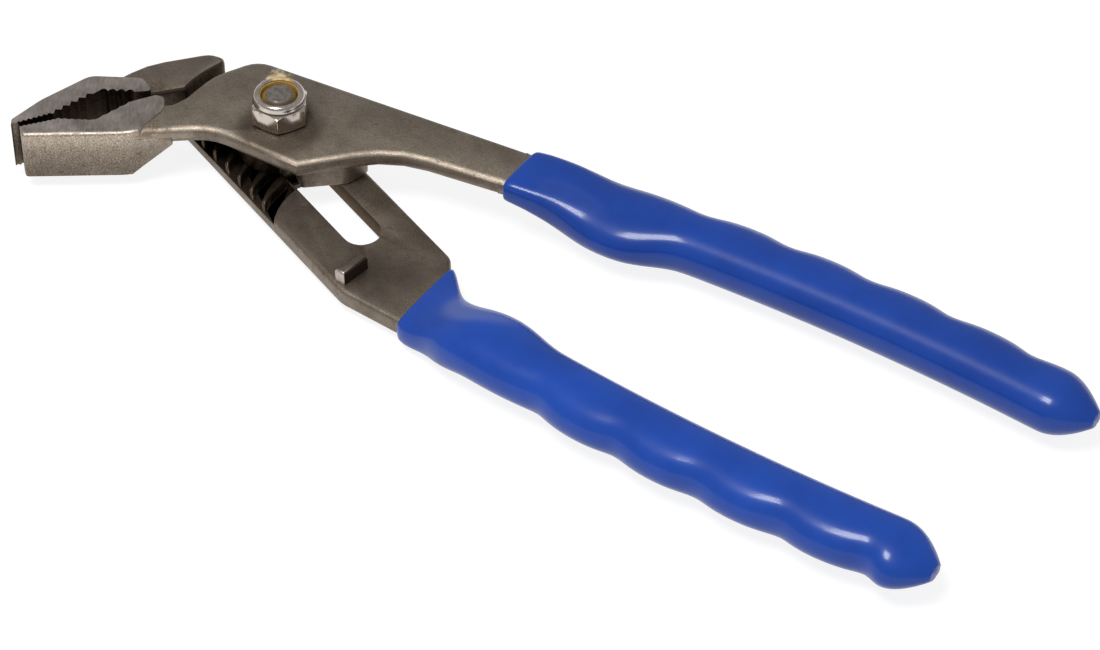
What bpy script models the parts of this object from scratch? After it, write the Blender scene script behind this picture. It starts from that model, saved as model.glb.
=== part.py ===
"""Water pump pliers of the 250 mm class, with a tongue-and-groove slip joint.

Two drop-forged halves cross at a sliding pivot.  The lower half carries the far jaw, the slotted
arm with its arc-shaped ridges, and one handle.  The upper half carries the near jaw, the plate on
which the nut sits, the tongue that drops between the ridges, and the other handle.  A low-headed
bolt with two flats on its neck slides in the slot, and a nylon-insert nut closes it.  Both handles
are dipped in soft vinyl.

Frame: the origin is on the pivot axis, on the flat face of the bolt head.  +X runs along the
handles, away from the jaws, and +Z points up, from the bolt head to the nut.
"""

import math

import bmesh
import bpy
from mathutils import Vector

MM = 0.001

# Running gaps
SEAT_GAP = 0.3 * MM              # between flat faces that slide on each other
SIDE_GAP = 0.3 * MM              # beside the bolt and the tongue
GRIP_GAP = 0.2 * MM              # between the vinyl and the steel inside it
EMBED = 0.4 * MM                 # how far a forged-on feature reaches into the plate it stands on

# Thicknesses, from the bolt head up to the nut
HEAD_THICKNESS = 2.0 * MM
LOWER_PLATE = 4.5 * MM
PAD_HEIGHT = 5.0 * MM            # how far the upper half's bearing pad stands below its plate
UPPER_PLATE = 4.3 * MM
JAW_THICKNESS = 12.5 * MM
UPPER_EDGE = 1.7 * MM            # rounding of the two forged plates' edges
LOWER_EDGE = 1.1 * MM

# Slip joint: s runs along the slot towards the handles, t across it towards the grooved rail
SLOT_ANGLE = math.radians(-21.8)
SLOT_WIDTH = 9.0 * MM
SLOT_OVERRUN = 2.0 * MM          # slot past the bolt's first and last position
POSITIONS = 7
STEP = 5.3 * MM                  # from one groove to the next
GROOVED_RAIL = 14.4 * MM         # slot's middle to the outer edge of the grooved rail
PLAIN_RAIL = 11.8 * MM           # slot's middle to the outer edge of the plain rail
RAIL_LENGTH = 47.5 * MM          # pivot's first position to where the rails turn into the handle
TONGUE_RADIUS = 19.2 * MM        # inner wall of the tongue, round the pivot
TONGUE_WIDTH = 2.3 * MM
TONGUE_FROM = math.radians(137)  # ends of the tongue, turned from the slot's direction
TONGUE_TO = math.radians(163)
GROOVE_DEPTH = 1.6 * MM          # groove floor below the land
RIDGE_HEIGHT = 1.2 * MM          # ridge tops above the land
RIDGE_MARGIN = 0.5 * MM          # ridge ends inside the rail's two edges
RIDGE_ROUND = 0.5 * MM
HUB_RADIUS = 10.5 * MM           # thickened hub of the upper half, clear above the ridges
LUG_PLACE = 44.4 * MM            # middle of the stop lug, along the slot
LUG_LENGTH = 7.5 * MM
LUG_WIDTH = 2.8 * MM
LUG_HEIGHT = 3.5 * MM
LUG_ROUND = 0.7 * MM
LUG_TURN = math.radians(14)

# Jaws: u runs along the jaws towards the pivot, v across them towards the far jaw
JAW_ANGLE = math.radians(33.7)
JAW_REACH = 61.0 * MM            # pivot to the jaws' tip
JAW_GAP = 0.5 * MM               # between the closed tips
TIP_SETBACK = 2.0 * MM           # near jaw's tip short of the far jaw's
TIP_LEAN = 0.7 * MM              # how far its end face leans back over the jaw's width
TIP_CORNER = 0.6 * MM            # and the length of its broken inner corner
NEAR_JAW_FRONT = 6.2 * MM        # outer face of the near jaw, from the pivot's line
FAR_JAW_BACK = 14.0 * MM         # outer face of the far jaw, from the pivot's line
CLOSING_LINE = -2.9 * MM         # where the closed tips meet, from the pivot's line
GROUND_RISE = 0.2 * MM           # ground jaw faces above the forged plate
NECK_DROP = 1.8 * MM             # lower half's forged neck below the ground jaw face
NECK_EDGE = 1.2 * MM
NECK_GAP = 4.1 * MM              # between the tongue and that neck's inner wall
FINE_TEETH = 8
COARSE_TEETH = 5
HOLLOW_TEETH = 4
FINE_DEPTH = 0.5 * MM
COARSE_DEPTH = 1.0 * MM
HOLLOW_DEPTH = 0.8 * MM
NEAR_DEPTH = 0.25 * MM           # the near jaw's teeth are worn shallow

# Handles: lengths along them are measured from the edge of the vinyl dip
SHANK_LENGTH = 7.5 * MM          # bare steel between the rails and the dip
UPPER_GRIP = 142.5 * MM          # lengths of the two grips
LOWER_GRIP = 135.8 * MM
UPPER_LINE = 24.7 * MM           # middle lines of the two bars, where they bow out most
LOWER_LINE = -33.9 * MM
BAR_BOW = 1.7 * MM               # how far each bar bows outwards over the reach to either side
BOW_MIDDLE = 90.0 * MM
BOW_REACH = 45.0 * MM
UPPER_SHANK = (9.4 * MM, 21.9 * MM)      # edges of the flat shanks where the dip begins
LOWER_SHANK = (-31.9 * MM, -11.6 * MM)
UPPER_SLOPE = 0.0                # and their slope there, against the bowed middle line
LOWER_SLOPE = -0.4
UPPER_BEND = 35.0 * MM           # where each shank has bent into its bar's middle line
LOWER_BEND = 17.0 * MM
UPPER_TAPER = 25.0 * MM          # and has narrowed to the bar's width
LOWER_TAPER = 10.0 * MM
SHANK_RUN = 22.0 * MM            # and has grown to the bar's thickness
BAR_WIDTH = 11.7 * MM
BAR_THICKNESS = 9.2 * MM
BAR_SQUARENESS = 2.6             # exponents of the oval sections: steel bar, flat steel shank
SHANK_SQUARENESS = 9.0
DIP_SQUARENESS = 4.5             # and the vinyl over the shank, over the bar and at the end
GRIP_SQUARENESS = 2.2
END_SQUARENESS = 1.9
SHANK_OVERLAP = 2.0 * MM         # flat shank inside the dip
TANG_ROOT = 1.5 * MM             # tang inside the flat shank
TANG_INSET = 0.25 * MM
TANG_END = 9.0 * MM              # steel stops this far inside the grip's end
TANG_ROUND = 3.0 * MM
GRIP_WALL = 1.4 * MM
SHANK_WALL = 0.85 * MM           # thinner where the dip covers the flat shank
LIP_ROUND = 1.2 * MM             # and thinner still over the rounded lip
UPPER_GUARD = (29.0 * MM, 19.0 * MM, 13.0 * MM, 4.1 * MM)    # finger guard on each inner side:
LOWER_GUARD = (25.5 * MM, 13.0 * MM, 13.0 * MM, 2.4 * MM)    # place, run before, run after, height
END_ROUND = 10.6 * MM            # length of the grips' pointed ends
END_FLAT = 0.28                  # flat spot left on the end, as a share of the section
END_SHIFT = 1.2 * MM             # how far the point lies towards the outer side
LOBES = 4                        # full finger lobes on the outer side, with one more at each end
UPPER_VALLEY = (19.0 * MM, 0.9)  # last valley, from the grip's end, and the share of the full
LOWER_VALLEY = (13.4 * MM, 1.7)  # height for the lobe beyond it
LOBE_PITCH = 20.4 * MM
LOBE_HEIGHT = 1.9 * MM
VALLEY_DEPTH = 0.6 * MM          # valleys below the plain section
FIRST_LOBE = 0.95                # share of the full height for the first one

# Pivot bolt and lock nut
BOLT_SHANK = 8.0 * MM
NECK_DIAMETER = 10.0 * MM        # before its two flats are cut
HEAD_DIAMETER = 15.0 * MM
BOLT_POINT = 5.8 * MM            # flat end of the bolt inside its chamfer
POINT_CHAMFER = 1.1 * MM
POINT_RECESS = 0.3 * MM          # bolt end below the nut's top
NUT_FLATS = 12.0 * MM
NUT_HEX = 5.2 * MM               # height of the hexagon
NUT_COLLAR = 1.9 * MM            # height of the collar that holds the insert
COLLAR_DIAMETER = 11.8 * MM
COLLAR_ROUND = 1.0 * MM          # rounding of its outer rim
COLLAR_LIP = 9.1 * MM            # opening in the collar's turned-in lip
LIP_THICKNESS = 0.4 * MM
INSERT_DIAMETER = 10.2 * MM
INSERT_HEIGHT = 1.5 * MM
INSERT_PLAY = 0.2 * MM
NUT_CHAMFER = 0.8 * MM           # cut off the hexagon's upper corners
NUT_TURN = math.radians(2)

# Levels and places that follow from the sizes above
LOWER_BOTTOM = HEAD_THICKNESS + SEAT_GAP
LAND = LOWER_BOTTOM + LOWER_PLATE
FLOOR = LAND - GROOVE_DEPTH
RIDGE_TOP = LAND + RIDGE_HEIGHT
PAD_FACE = LAND + SEAT_GAP
UPPER_BOTTOM = PAD_FACE + PAD_HEIGHT
UPPER_TOP = UPPER_BOTTOM + UPPER_PLATE
JAW_BOTTOM = UPPER_TOP - JAW_THICKNESS
NUT_SEAT = UPPER_TOP + SEAT_GAP
NUT_TOP = NUT_SEAT + NUT_HEX + NUT_COLLAR
BAR_LEVEL = (LOWER_BOTTOM + UPPER_TOP) / 2
GRIP_START = RAIL_LENGTH + SHANK_LENGTH
BAR_START = GRIP_START + SHANK_RUN
TRAVEL = STEP * (POSITIONS - 1)
GROOVE_INNER = TONGUE_RADIUS - SIDE_GAP
GROOVE_OUTER = TONGUE_RADIUS + TONGUE_WIDTH + SIDE_GAP
NECK_RADIUS = TONGUE_RADIUS + TONGUE_WIDTH + NECK_GAP


# Start from an empty scene

for old in list(bpy.data.objects):
    bpy.data.objects.remove(old)
product = bpy.data.collections.new("water_pump_pliers")
construction = bpy.data.collections.new("construction")
bpy.context.scene.collection.children.link(product)
bpy.context.scene.collection.children.link(construction)


# Helpers

def material(name, colour, roughness, metallic):
    """A plain finish from an sRGB hex colour."""
    channels = [int(colour[i:i + 2], 16) / 255 for i in (0, 2, 4)]
    linear = [c / 12.92 if c <= 0.04045 else ((c + 0.055) / 1.055) ** 2.4 for c in channels]
    made = bpy.data.materials.new(name)
    made.use_nodes = True
    shader = made.node_tree.nodes["Principled BSDF"]
    shader.inputs["Base Color"].default_value = (*linear, 1)
    shader.inputs["Roughness"].default_value = roughness
    shader.inputs["Metallic"].default_value = metallic
    return made


def place(name, bm, collection):
    """Turn a bmesh into an object of the given collection."""
    bmesh.ops.recalc_face_normals(bm, faces=bm.faces)
    mesh = bpy.data.meshes.new(name)
    bm.to_mesh(mesh)
    bm.free()
    made = bpy.data.objects.new(name, mesh)
    collection.objects.link(made)
    if collection is construction:
        made.hide_render = True
        made.display_type = "WIRE"
    return made


def along_slot(s, t):
    """Plan point s along the slot from the pivot and t towards the grooved rail."""
    c, d = math.cos(SLOT_ANGLE), math.sin(SLOT_ANGLE)
    return (s * c + t * d, s * d - t * c)


def along_jaw(u, v):
    """Plan point u along the jaws from the pivot and v towards the far jaw."""
    c, d = math.cos(JAW_ANGLE), math.sin(JAW_ANGLE)
    return (u * c - v * d, u * d + v * c)


def near(along, across):
    """(u, v) of a place on the near jaw, as shares of the jaws' reach and of its own depth."""
    return (-along * JAW_REACH, across * NEAR_JAW_FRONT)


def far(along, across):
    """(u, v) of a place on the far jaw, as shares of the jaws' reach and of its own depth."""
    return (-along * JAW_REACH, across * FAR_JAW_BACK)


def about_pivot(x, y, radius=0):
    """Corner of a plate near the pivot, as shares of the neck's radius."""
    return (x * NECK_RADIUS, y * NECK_RADIUS, radius * NECK_RADIUS)


def rounded(corners, step=math.radians(18)):
    """Outline through (x, y, radius) corners, with an arc at each corner that has a radius."""
    points = []
    for i, (x, y, radius) in enumerate(corners):
        here = Vector((x, y))
        back = Vector(corners[i - 1][:2]) - here
        ahead = Vector(corners[(i + 1) % len(corners)][:2]) - here
        if not radius:
            points.append(here)
            continue
        half = back.angle(ahead) / 2
        reach = min(radius / math.tan(half), 0.48 * back.length, 0.48 * ahead.length)
        radius = reach * math.tan(half)
        first = here + back.normalized() * reach
        last = here + ahead.normalized() * reach
        centre = here + (back.normalized() + ahead.normalized()).normalized() * radius / math.sin(half)
        sweep = (first - centre).angle(last - centre)
        count = max(2, math.ceil(sweep / step))
        for k in range(count + 1):
            # equal angles, from the chord between the two tangent points
            f = 0.5 + math.tan((k / count - 0.5) * sweep) / (2 * math.tan(sweep / 2))
            on_chord = first.lerp(last, f)
            points.append(centre + (on_chord - centre).normalized() * radius)
    return [tuple(p) for p in points]


def arc(centre, radius, start, end, count):
    """Points on an arc round a place on the slot's line, with angles turned from its direction."""
    angles = [start + (end - start) * k / count for k in range(count + 1)]
    return [along_slot(centre + radius * math.cos(a), radius * math.sin(a)) for a in angles]


def arc_between(centre, radius, start, end, count=5):
    """The jaw-side arc round a place on the slot's line, between two distances t from that line."""
    first = math.pi - math.asin(start / radius)
    last = math.pi - math.asin(end / radius)
    return arc(centre, radius, first, last, count)


def prism(name, outline, bottom, top, collection=construction, edge=0):
    """A plan outline raised from one level to another, its rims rounded by edge."""
    bm = bmesh.new()
    face = bm.faces.new([bm.verts.new((x, y, bottom)) for x, y in outline])
    raised = bmesh.ops.extrude_face_region(bm, geom=[face])["geom"]
    upper = [v for v in raised if isinstance(v, bmesh.types.BMVert)]
    bmesh.ops.translate(bm, vec=(0, 0, top - bottom), verts=upper)
    if edge:
        rims = [e for e in bm.edges if abs(e.verts[0].co.z - e.verts[1].co.z) < edge]
        bmesh.ops.bevel(bm, geom=rims, offset=edge, segments=3, profile=0.5, affect="EDGES")
    return place(name, bm, collection)


def sloped(name, outline, bottom, top):
    """A construction solid over a plan outline, between two planes given as functions of (x, y)."""
    bm = bmesh.new()
    low = [bm.verts.new((x, y, bottom(x, y))) for x, y in outline]
    high = [bm.verts.new((x, y, top(x, y))) for x, y in outline]
    skin(bm, [low, high])
    bm.faces.new(low)
    bm.faces.new(high)
    return place(name, bm, construction)


def turned(name, profile, closed, collection, steps=36):
    """A profile of (radius, level) points, top to bottom, turned round the pivot axis."""
    bm = bmesh.new()
    verts = [bm.verts.new((radius, 0, level)) for radius, level in profile]
    for a, b in zip(verts, verts[1:]):
        bm.edges.new((a, b))
    if closed:
        bm.edges.new((verts[-1], verts[0]))
    made = place(name, bm, collection)
    screw = made.modifiers.new("turn", "SCREW")
    screw.steps = screw.render_steps = steps
    screw.use_merge_vertices = True
    screw.merge_threshold = 0.00001
    screw.use_smooth_shade = False
    return made


def combine(base, tool, operation):
    """Add, cut or keep the common part of a construction solid."""
    boolean = base.modifiers.new(tool.name, "BOOLEAN")
    boolean.operation = operation
    boolean.object = tool


def finish(made, look):
    """Give a piece its material and set smooth shading between sharp edges."""
    made.data.materials.append(look)
    made.data.shade_smooth()
    made.data.set_sharp_from_angle(angle=math.radians(32))


def teeth(start, end, count, depth):
    """Pointed teeth cut into a jaw's face between two (u, v) places, as (u, v) points."""
    start, end = Vector(start), Vector(end)
    inward = Vector((start.y - end.y, end.x - start.x)).normalized() * depth
    points = [start]
    for k in range(count):
        points.append(start.lerp(end, (k + 0.5) / count) + inward)
        points.append(start.lerp(end, (k + 1) / count))
    return [tuple(p) for p in points]


def hollows(start, end, count, depth):
    """Round hollows cut into a jaw's face between two (u, v) places, as (u, v) points."""
    start, end = Vector(start), Vector(end)
    inward = Vector((start.y - end.y, end.x - start.x)).normalized() * depth
    parts = 4
    points = []
    for k in range(count * parts + 1):
        deep = math.sin(math.pi * (k % parts) / parts)
        points.append(start.lerp(end, k / (count * parts)) + inward * deep)
    return [tuple(p) for p in points]


def ramp(x, start, end, low, high, slope=0):
    """Smooth run from low at start, with the given slope, to level at high from end on."""
    if x < start:
        return low + (x - start) * slope
    f = min((x - start) / (end - start), 1)
    leave = f * (1 - f) ** 2 * (end - start) * slope
    return low + (high - low) * f * f * (3 - 2 * f) + leave


def ring(bm, x, y, z, half_width, half_height, squareness, low=0, high=0, count=24):
    """One oval cross-section of a handle, swollen by low towards -Y and by high towards +Y."""
    verts = []
    for k in range(count):
        a = 2 * math.pi * k / count
        c, d = math.cos(a), math.sin(a)
        across = math.copysign(abs(c) ** (2 / squareness), c) * half_width
        upward = math.copysign(abs(d) ** (2 / squareness), d) * half_height
        swell = high * max(c, 0) + low * min(c, 0)
        verts.append(bm.verts.new((x, y + across + swell, z + upward)))
    return verts


def skin(bm, rings):
    """Side faces between neighbouring cross-sections."""
    for here, ahead in zip(rings, rings[1:]):
        for k, v in enumerate(here):
            j = (k + 1) % len(here)
            bm.faces.new((v, here[j], ahead[j], ahead[k]))


def spaced(start, end, count):
    """Places from start to end in equal steps."""
    return [start + (end - start) * k / count for k in range(count + 1)]


def inside(end):
    """Places along the steel inside a grip: close together where the shank becomes the bar."""
    return spaced(GRIP_START, BAR_START, 12) + spaced(BAR_START, end, 8)[1:]


class Handle:
    """One handle: a flat shank at the plate's level that swells into a bowed oval bar."""

    def __init__(self, shank, slope, bend, taper, level, plate, line, length, guard, valley):
        self.shank = shank
        self.slope = slope
        self.bend_end = GRIP_START + bend
        self.taper_end = GRIP_START + taper
        self.level = level
        self.plate = plate
        self.line = line
        self.end = GRIP_START + length
        self.guard = guard
        self.last_valley = self.end - valley[0]
        self.last_lobe = valley[1]
        self.outward = math.copysign(1, line)

    def bowed_line(self, x):
        """Middle line of the bar, carried on over the shank."""
        return self.line - self.outward * BAR_BOW * ((x - GRIP_START - BOW_MIDDLE) / BOW_REACH) ** 2

    def section(self, x, grow):
        """Middle, level, half sizes and squareness at x, grown outwards by grow."""
        offset = sum(self.shank) / 2 - self.bowed_line(GRIP_START)
        middle = self.bowed_line(x) + ramp(x, GRIP_START, self.bend_end, offset, 0, self.slope)
        level = ramp(x, GRIP_START, BAR_START, self.level, BAR_LEVEL)
        half_shank = (self.shank[1] - self.shank[0]) / 2
        half_width = ramp(x, GRIP_START, self.taper_end, half_shank, BAR_WIDTH / 2)
        half_height = ramp(x, GRIP_START, BAR_START, self.plate / 2, BAR_THICKNESS / 2)
        squareness = ramp(x, GRIP_START, BAR_START, SHANK_SQUARENESS, BAR_SQUARENESS)
        return (middle, level, half_width + grow, half_height + grow, squareness)

    def edge(self, x, side):
        """Outline corner on one edge of the flat shank."""
        middle, _, half_width, _, _ = self.section(x, 0)
        return (x, middle + side * half_width, 0)

    def lobe_height(self, x):
        """Height of the finger lobes at x: round swells with narrow valleys between them."""
        f = (x - self.last_valley) / LOBE_PITCH + LOBES
        share = 1
        if f > LOBES:
            share = self.last_lobe
        elif f < 0:
            # the first one is twice as long, and runs out at the edge of the dip
            share = FIRST_LOBE
            f = max(f / 2, -1)
        valley = ramp(x, GRIP_START, BAR_START, 0, VALLEY_DEPTH)
        return share * LOBE_HEIGHT * (1 - abs(2 * (f % 1) - 1) ** 2.4) - valley

    def guard_height(self, x):
        """Height of the finger guard at x."""
        place, before, after, height = self.guard
        past = x - GRIP_START - place
        f = min(abs(past) / (after if past > 0 else before), 1)
        return height * (1 - f * f) ** 2

    def tang(self, name):
        """The steel inside the grip, reaching back into the plate."""
        bm = bmesh.new()
        last = self.end - TANG_END
        rings = []
        for x in [GRIP_START - TANG_ROOT] + inside(last - TANG_ROUND) + [last]:
            shrink = TANG_ROUND / 2 if x == last else TANG_INSET
            rings.append(ring(bm, x, *self.section(x, -shrink)))
        skin(bm, rings)
        bm.faces.new(rings[0])
        bm.faces.new(rings[-1])
        return place(name, bm, construction)

    def vinyl_ring(self, bm, x):
        """One outer cross-section of the vinyl: lip, plain sleeve, lobes and guard, pointed end."""
        lip = min((x - GRIP_START) / LIP_ROUND, 1)
        wall = ramp(x, GRIP_START, BAR_START, SHANK_WALL, GRIP_WALL)
        wall *= 0.5 + 0.5 * math.sqrt(lip * (2 - lip))
        middle, level, width, height, _ = self.section(x, GRIP_GAP + wall)
        past = max(0, 1 - (self.end - x) / END_ROUND)
        close = 1 - (1 - END_FLAT) * past ** 1.9
        middle += self.outward * END_SHIFT * past * past
        squareness = ramp(x, GRIP_START, BAR_START, DIP_SQUARENESS, GRIP_SQUARENESS)
        squareness += (END_SQUARENESS - GRIP_SQUARENESS) * past
        sides = (self.guard_height(x), self.lobe_height(x) * close)[::int(self.outward)]
        return ring(bm, x, middle, level, width * close, height * close, squareness, *sides)

    def grip(self, name):
        """The vinyl sleeve, closed at its end: finger lobes outside, a finger guard inside."""
        bm = bmesh.new()
        stations = [GRIP_START, GRIP_START + 0.3 * LIP_ROUND]
        stations += spaced(GRIP_START + LIP_ROUND, self.end - END_ROUND, 44)
        stations += spaced(self.end - END_ROUND, self.end, 7)[1:]
        outer = [self.vinyl_ring(bm, x) for x in stations]
        inner = [ring(bm, x, *self.section(x, GRIP_GAP)) for x in inside(self.end - TANG_END + GRIP_GAP)]
        skin(bm, outer)
        skin(bm, inner[::-1])
        skin(bm, [inner[0], outer[0]])
        bm.faces.new(outer[-1])
        bm.faces.new(inner[-1])
        return place(name, bm, product)


# Finishes

forged_steel = material("shot-blasted forged steel", "6f655b", 0.45, 1.0)
dark_steel = material("dark oxide forged steel", "564d46", 0.45, 1.0)
bolt_steel = material("turned steel bolt", "77706a", 0.4, 1.0)
nut_steel = material("plated steel nut", "8d8682", 0.3, 1.0)
nylon = material("natural nylon", "d9cf9c", 0.5, 0.0)
upper_vinyl = material("blue vinyl dip, upper", "2a4fae", 0.25, 0.0)
lower_vinyl = material("blue vinyl dip, lower", "2a4fae", 0.25, 0.0)


# Upper half: plate, jaw, hub with tongue, bearing pad and tang in one forging

upper_handle = Handle(UPPER_SHANK, UPPER_SLOPE, UPPER_BEND, UPPER_TAPER, UPPER_TOP - UPPER_PLATE / 2,
                      UPPER_PLATE, UPPER_LINE, UPPER_GRIP, UPPER_GUARD, UPPER_VALLEY)
shank_end = GRIP_START + SHANK_OVERLAP
upper_plate = rounded([
    upper_handle.edge(shank_end, 1),
    upper_handle.edge(GRIP_START, 1),
    about_pivot(-0.649, 0.543, 0.274),
    about_pivot(-0.863, 0.137, 0.547),
    about_pivot(-0.879, -0.234, 0.157),
    (*along_jaw(*near(0.413, 0.82)), 1.1 * MM),
    (*along_jaw(*near(0.557, 0.73)), 0),
    (*along_jaw(*near(0.557, -0.86)), 0),
    about_pivot(-0.426, -0.465, 0.469),
    about_pivot(0.496, -0.442),
    about_pivot(1.071, 0.191, 0.977),
    upper_handle.edge(GRIP_START, -1),
    upper_handle.edge(shank_end, -1),
])
tongue_half = prism("tongue_half", upper_plate, UPPER_BOTTOM, UPPER_TOP, product, UPPER_EDGE)

near_tip = (TIP_SETBACK - JAW_REACH, CLOSING_LINE - JAW_GAP)
near_face = [near(0.474, 1.19)]
near_face += hollows(near(0.572, 0.79), near(0.692, -0.18), HOLLOW_TEETH, NEAR_DEPTH)
near_face += teeth(near(0.700, -0.18), near(0.825, -0.10), COARSE_TEETH, NEAR_DEPTH)
near_face += teeth(near(0.830, -0.11), near_tip, FINE_TEETH, NEAR_DEPTH)
near_jaw = rounded([
    *[(*along_jaw(u, v), 0) for u, v in near_face],
    (*along_jaw(near_tip[0] + TIP_LEAN / 7, near_tip[1] - TIP_CORNER), 0),
    (*along_jaw(near_tip[0] + TIP_LEAN, -1.04 * NEAR_JAW_FRONT), 0.9 * MM),
    (*along_jaw(*near(0.590, -0.95)), 12 * MM),
    (*along_jaw(*near(0.520, -0.84)), 0.5 * MM),
    (*along_jaw(*near(0.502, -0.45)), 2 * MM),
    (*along_jaw(*near(0.436, 0.44)), 4 * MM),
    (*along_jaw(*near(0.441, 1.10)), 1.5 * MM),
])
root = [along_jaw(*near(a, b)) for a, b in ((0.541, -0.857), (0.402, -0.746), (0.402, 0.71), (0.541, 0.71))]
root_top = UPPER_BOTTOM + 1.1 * UPPER_EDGE
beyond = [along_jaw(*near(a, b)) for a, b in ((0.59, -1.94), (0.41, -1.94), (0.41, 1.94), (0.59, 1.94))]


def root_level(x, y):
    """Underside of the near jaw's root, rising from the jaw's bottom to the plate."""
    u = x * math.cos(JAW_ANGLE) + y * math.sin(JAW_ANGLE)
    return JAW_BOTTOM + (u / JAW_REACH + 0.557) * (UPPER_BOTTOM - JAW_BOTTOM) / 0.156


web_radius = TONGUE_RADIUS + TONGUE_WIDTH
hub = arc(0, HUB_RADIUS, TONGUE_TO + 0.3, TONGUE_FROM - 0.3 + 2 * math.pi, 28)
hub += arc(0, web_radius, TONGUE_FROM, TONGUE_TO, 6)
tongue = arc(0, TONGUE_RADIUS, TONGUE_FROM, TONGUE_TO, 6)
tongue += arc(0, web_radius - 0.02 * MM, TONGUE_TO, TONGUE_FROM, 6)
pad = rounded([
    about_pivot(0, 0),
    about_pivot(0.461, -0.344, 0.039),
    about_pivot(0.773, -0.067, 0.157),
    about_pivot(0.836, 0.164, 0.078),
    about_pivot(0.469, 0.469, 0.195),
    about_pivot(-0.117, 0.445, 0.078),
])
bolt_hole = arc(0, BOLT_SHANK / 2 + SIDE_GAP, 0, 2 * math.pi, 40)[:-1]

combine(tongue_half, prism("near_jaw_block", near_jaw, JAW_BOTTOM, UPPER_TOP + GROUND_RISE), "UNION")
combine(tongue_half, sloped("clear_below_root", beyond, lambda x, y: 0, root_level), "DIFFERENCE")
combine(tongue_half, sloped("near_jaw_root", root, root_level, lambda x, y: root_top), "UNION")
combine(tongue_half, prism("hub_and_web", hub, RIDGE_TOP + SEAT_GAP, UPPER_BOTTOM + EMBED), "UNION")
combine(tongue_half, prism("tongue", tongue, FLOOR + SEAT_GAP, UPPER_BOTTOM), "UNION")
combine(tongue_half, prism("bearing_pad", pad, PAD_FACE, UPPER_BOTTOM + EMBED / 2), "UNION")
combine(tongue_half, upper_handle.tang("upper_tang"), "UNION")
combine(tongue_half, prism("upper_bolt_hole", bolt_hole, 0, NUT_TOP), "DIFFERENCE")
finish(tongue_half, forged_steel)


# Lower half: slotted arm, neck, far jaw, ridges, stop lug and tang in one forging

lower_handle = Handle(LOWER_SHANK, LOWER_SLOPE, LOWER_BEND, LOWER_TAPER, LAND - LOWER_PLATE / 2,
                      LOWER_PLATE, LOWER_LINE, LOWER_GRIP, LOWER_GUARD, LOWER_VALLEY)
lower_plate = rounded([
    lower_handle.edge(shank_end, -1),
    lower_handle.edge(GRIP_START, -1),
    (*along_slot(RAIL_LENGTH, GROOVED_RAIL), 8 * MM),
    (*along_slot(-0.76 * NECK_RADIUS, GROOVED_RAIL), 4 * MM),
    about_pivot(-1.211, -0.157),
    about_pivot(-1.289, 0.157),
    about_pivot(-1.055, 0.352),
    (*along_slot(-0.544 * NECK_RADIUS, -PLAIN_RAIL), 10 * MM),
    (*along_slot(RAIL_LENGTH + 0.6 * SHANK_LENGTH, -PLAIN_RAIL), 3 * MM),
    lower_handle.edge(GRIP_START, 1),
    lower_handle.edge(shank_end, 1),
])
groove_half = prism("groove_half", lower_plate, LOWER_BOTTOM, LAND, product, LOWER_EDGE)

far_tip = (-JAW_REACH, CLOSING_LINE)
far_face = teeth(far_tip, far(0.852, 0.07), FINE_TEETH, FINE_DEPTH)
far_face += teeth(far(0.846, 0.07), far(0.708, 0.56), COARSE_TEETH, COARSE_DEPTH)
far_face += hollows(far(0.687, 0.64), far(0.554, 0.61), HOLLOW_TEETH, HOLLOW_DEPTH)
far_jaw = rounded([
    *[(*along_jaw(u, v), 0) for u, v in far_face],
    (*along_jaw(*far(0.488, 0.64)), 0.8 * MM),
    (*along_jaw(*far(0.529, 0.96)), 2 * MM),
    (*along_jaw(*far(0.728, 1.01)), 4 * MM),
    (*along_jaw(*far(0.900, 0.41)), 12 * MM),
    (*along_jaw(-JAW_REACH, CLOSING_LINE + 1.9 * MM), 0.9 * MM),
])
neck_wall = arc(0, NECK_RADIUS, math.radians(174), math.radians(153), 6)
neck = rounded([
    (*along_jaw(*far(0.525, 0.69)), 0),
    (*along_jaw(*far(0.690, 0.80)), 0),
    (*along_jaw(*far(0.648, 1.07)), 0),
    about_pivot(-1.508, -0.020, 0.781),
    about_pivot(-1.102, 0.442, 0.195),
    about_pivot(-0.910, 0.449, 0.078),
    *[(x, y, 0) for x, y in neck_wall],
])
rail_start = SLOT_WIDTH / 2 + RIDGE_MARGIN
rail_end = GROOVED_RAIL - RIDGE_MARGIN
first_wall = arc_between(0, GROOVE_OUTER, rail_start, GROOVED_RAIL + 2 * RIDGE_MARGIN)
last_wall = arc_between(TRAVEL, GROOVE_INNER, GROOVED_RAIL + 2 * RIDGE_MARGIN, rail_start)
slot = arc(-SLOT_OVERRUN, SLOT_WIDTH / 2, math.radians(90), math.radians(270), 16)
slot += arc(TRAVEL + SLOT_OVERRUN, SLOT_WIDTH / 2, math.radians(270), math.radians(450), 16)
lug = []
for along, across in ((-1, -1), (1, -1), (1, 1), (-1, 1)):
    length, width = along * LUG_LENGTH / 2, across * LUG_WIDTH / 2
    s = LUG_PLACE + length * math.sin(LUG_TURN) + width * math.cos(LUG_TURN)
    t = (rail_start + rail_end) / 2 + length * math.cos(LUG_TURN) - width * math.sin(LUG_TURN)
    lug.append(along_slot(s, t))

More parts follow.
